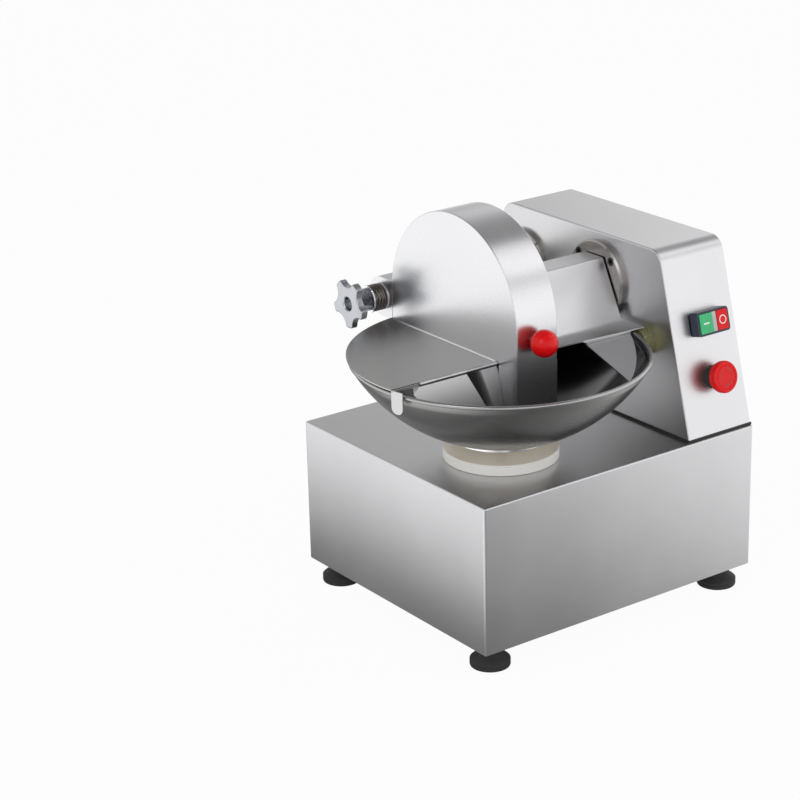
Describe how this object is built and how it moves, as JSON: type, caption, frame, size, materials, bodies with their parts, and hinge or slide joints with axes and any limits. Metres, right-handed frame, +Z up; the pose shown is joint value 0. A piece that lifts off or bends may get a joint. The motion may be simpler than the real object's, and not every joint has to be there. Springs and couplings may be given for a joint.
{
  "type": "meat bowl cutter",
  "caption": "Bench-top bowl cutter: shallow steel bowl on a box base, domed knife cover on a side hinge with a star knob, hinged flap, sloping control panel.",
  "frame": {"origin": "middle of the whole machine's bounding box, on the floor plane under the feet", "axes": "+X to the machine's right (motor housing side), +Y to its back, +Z up"},
  "size_m": [0.4875, 0.4418, 0.5138],
  "materials": {
    "brushed_steel": "brushed",
    "polished_steel": "polished",
    "machined_steel": "machined",
    "spring_steel": "oiled",
    "bronze": "machined",
    "cast_case": "painted grey",
    "motor_aluminium": "as cast",
    "motor_steel": "satin paint",
    "white_nylon": "turned",
    "black_rubber": "matte",
    "black_plastic": "matte",
    "grey_plastic": "moulded",
    "red_plastic": "glossy",
    "green_plastic": "glossy",
    "lens_plastic": "clear",
    "amber_rubber": "translucent"
  },
  "bodies": {
    "chassis": {"base_cabinet": "brushed_steel", "base_floor": "brushed_steel", "rubber_feet": "black_rubber", "foot_bolts": "machined_steel", "cable_gland": "black_plastic", "nylon_disc": "white_nylon", "gearbox_case": "cast_case", "gearbox_lid": "cast_case", "gearbox_stand": "cast_case", "motor_frame": "motor_aluminium", "motor_end_bells": "motor_aluminium", "drive_bearings": "machined_steel", "stator": "machined_steel", "motor_cradle": "motor_steel", "run_capacitor": "black_plastic", "drive_belt": "black_rubber", "motor_housing": "brushed_steel", "housing_gasket": "black_rubber", "bearing_plate": "brushed_steel", "knife_bearing_housing": "brushed_steel", "knife_bearings": "machined_steel", "flange_screws": "polished_steel", "hinge_post": "brushed_steel", "hinge_shaft": "polished_steel", "pressure_spring": "spring_steel", "bumper": "amber_rubber", "switch_bezel": "grey_plastic", "indicator_lens": "lens_plastic", "stop_collar": "black_plastic", "contact_block": "black_plastic"},
    "motor_rotor": {"rotor": "machined_steel", "motor_shaft": "machined_steel", "worm": "machined_steel", "drive_pulley": "machined_steel"},
    "knife_rotor": {"knife_shaft": "machined_steel", "knives": "polished_steel", "knife_spacers": "machined_steel", "knife_nut": "machined_steel", "knife_pulley": "machined_steel"},
    "bowl_rotor": {"bowl": "brushed_steel", "bowl_hub": "polished_steel", "bowl_spindle": "machined_steel", "worm_wheel": "bronze"},
    "cover": {"dome_cover": "brushed_steel", "hinge_lug": "brushed_steel", "hinge_bush": "machined_steel", "cover_plate": "brushed_steel", "shaft_shroud": "brushed_steel", "deflector": "brushed_steel", "piano_hinge_leaf": "brushed_steel", "piano_hinge_pin": "polished_steel", "ball_knob": "red_plastic", "knob_ferrule": "polished_steel"},
    "flap_leaf": {"flap": "brushed_steel"},
    "clamp_washer": {"pressure_washer": "polished_steel"},
    "clamp_knob": {"star_knob": "polished_steel"},
    "start_key": {"start_button": "green_plastic"},
    "stop_key": {"stop_button": "red_plastic"},
    "stop_plunger": {"stop_stem": "black_plastic"},
    "stop_mushroom": {"stop_head": "red_plastic"}
  },
  "joints": [
    {"name": "motor_spin", "type": "hinge", "parent": "chassis", "child": "motor_rotor", "pos_m": [0.11975, 0.01487, 0.118], "axis": [1, 0, 0], "continuous": true},
    {"name": "knife_spin", "type": "hinge", "parent": "chassis", "child": "knife_rotor", "pos_m": [0.11975, 0.01487, 0.3865], "axis": [1, 0, 0], "continuous": true},
    {"name": "bowl_spin", "type": "hinge", "parent": "chassis", "child": "bowl_rotor", "pos_m": [-0.05975, -0.03913, 0.245], "axis": [0, 0, 1], "continuous": true},
    {"name": "cover_hinge", "type": "hinge", "parent": "chassis", "child": "cover", "pos_m": [-0.05955, 0.16187, 0.375], "axis": [-1, 0, 0], "range_deg": [0, 95]},
    {"name": "flap_hinge", "type": "hinge", "parent": "cover", "child": "flap_leaf", "pos_m": [-0.14675, -0.07053, 0.35], "axis": [-1, 0, 0], "range_deg": [0, 85]},
    {"name": "washer_slide", "type": "slide", "parent": "chassis", "child": "clamp_washer", "axis": [1, 0, 0], "range_m": [-0.001, 0.001], "deforming": ["pressure_spring"]},
    {"name": "knob_turn", "type": "hinge", "parent": "clamp_washer", "child": "clamp_knob", "pos_m": [-0.12625, 0.16187, 0.375], "axis": [1, 0, 0], "range_deg": [-180.5, 180.5]},
    {"name": "start_press", "type": "slide", "parent": "chassis", "child": "start_key", "axis": [0, 0.9666, -0.2563], "range_m": [0, 0.003], "stiffness_N_per_m": 400},
    {"name": "stop_press", "type": "slide", "parent": "chassis", "child": "stop_key", "axis": [0, 0.9666, -0.2563], "range_m": [0, 0.003], "stiffness_N_per_m": 400},
    {"name": "stop_push", "type": "slide", "parent": "chassis", "child": "stop_plunger", "axis": [0, 0.9666, -0.2563], "range_m": [0, 0.004]},
    {"name": "stop_twist", "type": "hinge", "parent": "stop_plunger", "child": "stop_mushroom", "pos_m": [0.19525, -0.15381, 0.29018], "axis": [0, 0.9666, -0.2563], "range_deg": [0, 30], "stiffness_Nm_per_rad": 0.05}
  ],
  "couplings": [
    {"joint": "knife_spin", "follows": "motor_spin", "ratio": 1.25},
    {"joint": "bowl_spin", "follows": "motor_spin", "ratio": 0.017241},
    {"joint": "knob_turn", "follows": "washer_slide", "rad_per_m": 3141.6}
  ]
}
